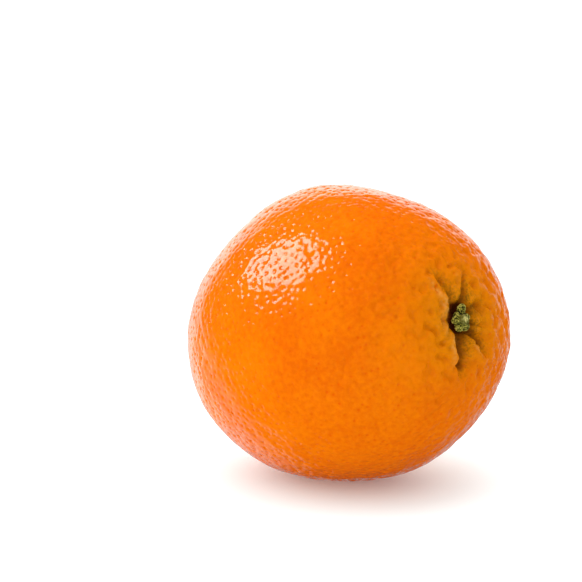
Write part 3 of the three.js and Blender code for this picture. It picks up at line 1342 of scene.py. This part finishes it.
@dataclass
class Studio:
    """A white floor that glows, a soft light from the upper left, a white surround, and the camera.

    What the fruit mirrors of the surround is a dark room with a bright wall behind the fruit, and
    two panels. Lengths are in millimetres and angles in degrees. A direction is given as how far
    right, up and back to the camera it points, and where something fades as two cosines of the
    angle away from a direction.
    """

    azimuth: float = 49.65
    elevation: float = 11.0
    camera_distance: float = 603.0
    camera_left: float = 14.0  # how far the camera stands left of the fruit's centre
    camera_up: float = 10.75  # and above it, beyond what the elevation gives
    focal_length: float = 148.45
    sensor_width: float = 36.0
    key_towards: tuple[float, float, float] = (-0.736, 0.675, 0.058)
    key_distance: float = 1200.0
    key_size: float = 690.0
    key_radiance: float = 12.7
    fill_towards: tuple[float, float, float] = (-0.63, 0.61, -0.48)  # where the surround shines most
    fill_least: float = 0.08
    fill_most: float = 2.10
    wall_brightest: tuple[float, float, float] = (-0.3, 0.954, 0.0)
    wall_heights: tuple[float, float] = (-0.4, 0.5)  # where the back wall is dark, and brightest
    wall_brightness: float = 1.95
    wall_edges: tuple[float, float] = (-0.87, -0.68)  # where it fades into the dark room
    panels: tuple[Panel, ...] = (
        Panel((-0.589, -0.368, -0.72), 0.85, (0.86, 0.97)),
        Panel((0.461, -0.168, -0.872), 0.32, (0.90, 0.98)),
    )
    room_brightness: float = 0.03
    floor_glow: float = 0.27
    floor_glow_with_painted_shadow: tuple[float, float] = (0.17, 0.47)  # what the camera sees, by the fruit and beyond: dimmest by the fruit, a painted shadow
    floor_seen_reach: tuple[float, float] = (8.0, 48.0)
    floor_radius: float = 4000.0
    floor_sides: int = 96
    floor_colour: str = "#D4E6E8"
    floor_roughness: float = 0.8

    def axes(self) -> tuple[Vector, Vector, Vector]:
        """The camera's right, up and back directions."""
        a, e = math.radians(self.azimuth), math.radians(self.elevation)
        right = Vector((math.cos(a), math.sin(a), 0))
        back = Vector((math.sin(a) * math.cos(e), -math.cos(a) * math.cos(e), math.sin(e)))
        return right, back.cross(right), back

    def aim(self, towards: tuple[float, float, float]) -> Vector:
        """Turns a direction given as right, up and back into the frame's."""
        right, up, back = self.axes()
        return right * towards[0] + up * towards[1] + back * towards[2]

    def set_camera(self, centre: Vector) -> None:
        """Makes the camera.

        Args:
            centre: The fruit's centre in the frame.
        """
        right, up, back = self.axes()
        data = bpy.data.cameras.new("camera")
        data.sensor_width = self.sensor_width
        data.lens = self.focal_length
        camera = bpy.data.objects.new("camera", data)
        step = back * self.camera_distance - right * self.camera_left + up * self.camera_up
        turn = Matrix((right, up, back)).transposed()
        camera.matrix_world = Matrix.Translation(centre + step * MM) @ turn.to_4x4()
        bpy.context.scene.collection.objects.link(camera)
        bpy.context.scene.camera = camera

    def set_key(self, centre: Vector) -> None:
        """Hangs the softbox.

        Args:
            centre: The fruit's centre in the frame.
        """
        towards = self.aim(self.key_towards).normalized()
        data = bpy.data.lights.new("softbox", "AREA")
        data.shape = "SQUARE"
        data.size = self.key_size * MM
        data.energy = math.pi * self.key_radiance * (self.key_size * MM) ** 2
        light = bpy.data.objects.new("softbox", data)
        light.visible_diffuse = False
        turn = towards.to_track_quat("Z", "Y").to_matrix().to_4x4()
        light.matrix_world = Matrix.Translation(centre + towards * self.key_distance * MM) @ turn
        bpy.context.scene.collection.objects.link(light)

    def graded(
        self,
        tree: bpy.types.NodeTree,
        direction: Vector,
        cosines: tuple[float, float],
        values: tuple[Setting, Setting],
    ) -> bpy.types.NodeSocket:
        """Grades the surround along one direction.

        Args:
            tree: The surround's node tree.
            direction: The direction that the grade follows.
            cosines: The cosines of the angle away from it where the grade starts and ends.
            values: What it starts and ends at, each a number or a socket.

        Returns:
            The socket that gives the graded value.
        """
        looking = add_node(tree, "ShaderNodeTexCoord").outputs["Generated"]
        along = add_node(tree, "ShaderNodeVectorMath", {0: looking, 1: direction}, operation="DOT_PRODUCT")
        grade = add_node(
            tree,
            "ShaderNodeMapRange",
            {
                "Value": along.outputs["Value"],
                "From Min": cosines[0],
                "From Max": cosines[1],
                "To Min": values[0],
                "To Max": values[1],
            },
        )
        return grade.outputs[0]

    def set_surround(self) -> None:
        """Wraps the scene in a white surround, dim on the camera's side as in a studio."""
        world = bpy.data.worlds.new("surround")
        world.use_nodes = True
        tree = world.node_tree
        tree.nodes.clear()
        ray = add_node(tree, "ShaderNodeLightPath")
        back = self.axes()[2]
        lit = self.graded(tree, self.aim(self.fill_towards), (-1.0, 1.0), (self.fill_least, self.fill_most))
        wall_tones = (self.room_brightness, self.wall_brightness)
        wall = self.graded(tree, self.aim(self.wall_brightest), self.wall_heights, wall_tones)
        mirrored = self.graded(tree, back, self.wall_edges, (wall, self.room_brightness))
        for panel in self.panels:
            shine = self.graded(tree, self.aim(panel.towards), panel.edges, (0.0, panel.brightness))
            sum_node = add_node(tree, "ShaderNodeMath", {0: mirrored, 1: shine}, operation="ADD")
            mirrored = sum_node.outputs[0]
        glow = add_node(
            tree,
            "ShaderNodeMix",
            {0: ray.outputs["Is Glossy Ray"], 2: lit, 3: mirrored},
            data_type="FLOAT",
        )
        seen = add_node(
            tree,
            "ShaderNodeMix",
            {0: ray.outputs["Is Camera Ray"], 2: glow.outputs[0], 3: 1.0},
            data_type="FLOAT",
        )
        light = add_node(tree, "ShaderNodeBackground", {"Color": (1, 1, 1, 1), "Strength": seen.outputs[0]})
        add_node(tree, "ShaderNodeOutputWorld", {"Surface": light.outputs[0]})
        world.cycles.sampling_method = "NONE"  # so that every ray knows what kind it is
        bpy.context.scene.world = world

    def set_floor(self) -> None:
        """Lays the plain pale floor, which glows, and to the camera least of all by the fruit: a painted
        shadow round it that deepens the real one.
        """
        bm = bmesh.new()
        radius = self.floor_radius * MM
        bmesh.ops.create_circle(bm, cap_ends=True, radius=radius, segments=self.floor_sides)
        floor = object_from(bm, "floor")
        material, tree = new_material("white_table")
        coords = add_node(tree, "ShaderNodeTexCoord").outputs["Object"]
        distance = add_node(tree, "ShaderNodeVectorMath", {0: coords}, operation="LENGTH")
        # painted shadow: the glow that the camera sees grows from the fruit outwards
        painted_shadow_glow = add_node(
            tree,
            "ShaderNodeMapRange",
            {
                "Value": distance.outputs["Value"],
                "From Min": self.floor_seen_reach[0] * MM,
                "From Max": self.floor_seen_reach[1] * MM,
                "To Min": self.floor_glow_with_painted_shadow[0],
                "To Max": self.floor_glow_with_painted_shadow[1],
            },
        )
        seen = add_node(tree, "ShaderNodeLightPath").outputs["Is Camera Ray"]
        glow = add_node(
            tree,
            "ShaderNodeMix",
            {0: seen, 2: self.floor_glow, 3: painted_shadow_glow.outputs[0]},
            data_type="FLOAT",
        )
        paint = add_node(
            tree,
            "ShaderNodeBsdfPrincipled",
            {
                "Base Color": linear(self.floor_colour),
                "Roughness": self.floor_roughness,
                "Emission Color": linear("#FFFFFF"),
                "Emission Strength": glow.outputs[0],
            },
        )
        add_node(tree, "ShaderNodeOutputMaterial", {"Surface": paint.outputs[0]})
        floor.data.materials.append(material)
        floor.visible_glossy = False

    def build(self, centre: Vector) -> None:
        """Sets the whole studio round the fruit's centre."""
        self.set_camera(centre)
        self.set_key(centre)
        self.set_surround()
        self.set_floor()
        bpy.context.scene.view_settings.view_transform = "Standard"
        LOG.info("studio set round %s", tuple(round(c, 4) for c in centre))


def main() -> None:
    """Builds the orange and the studio round it."""
    logging.basicConfig(level=logging.INFO, format="%(name)s %(message)s")
    fruit = Fruit()
    settle(fruit.build(), WaxedPeel().material(), "fruit")
    place = stem_place(fruit)
    settle(Calyx(place).build(), DriedSepal().material(), "calyx")
    settle(StemStub(place).build(), CutStemWood().material(), "stem_stub")
    Studio().build(fruit.centre)


if __name__ == "__main__":
    main()
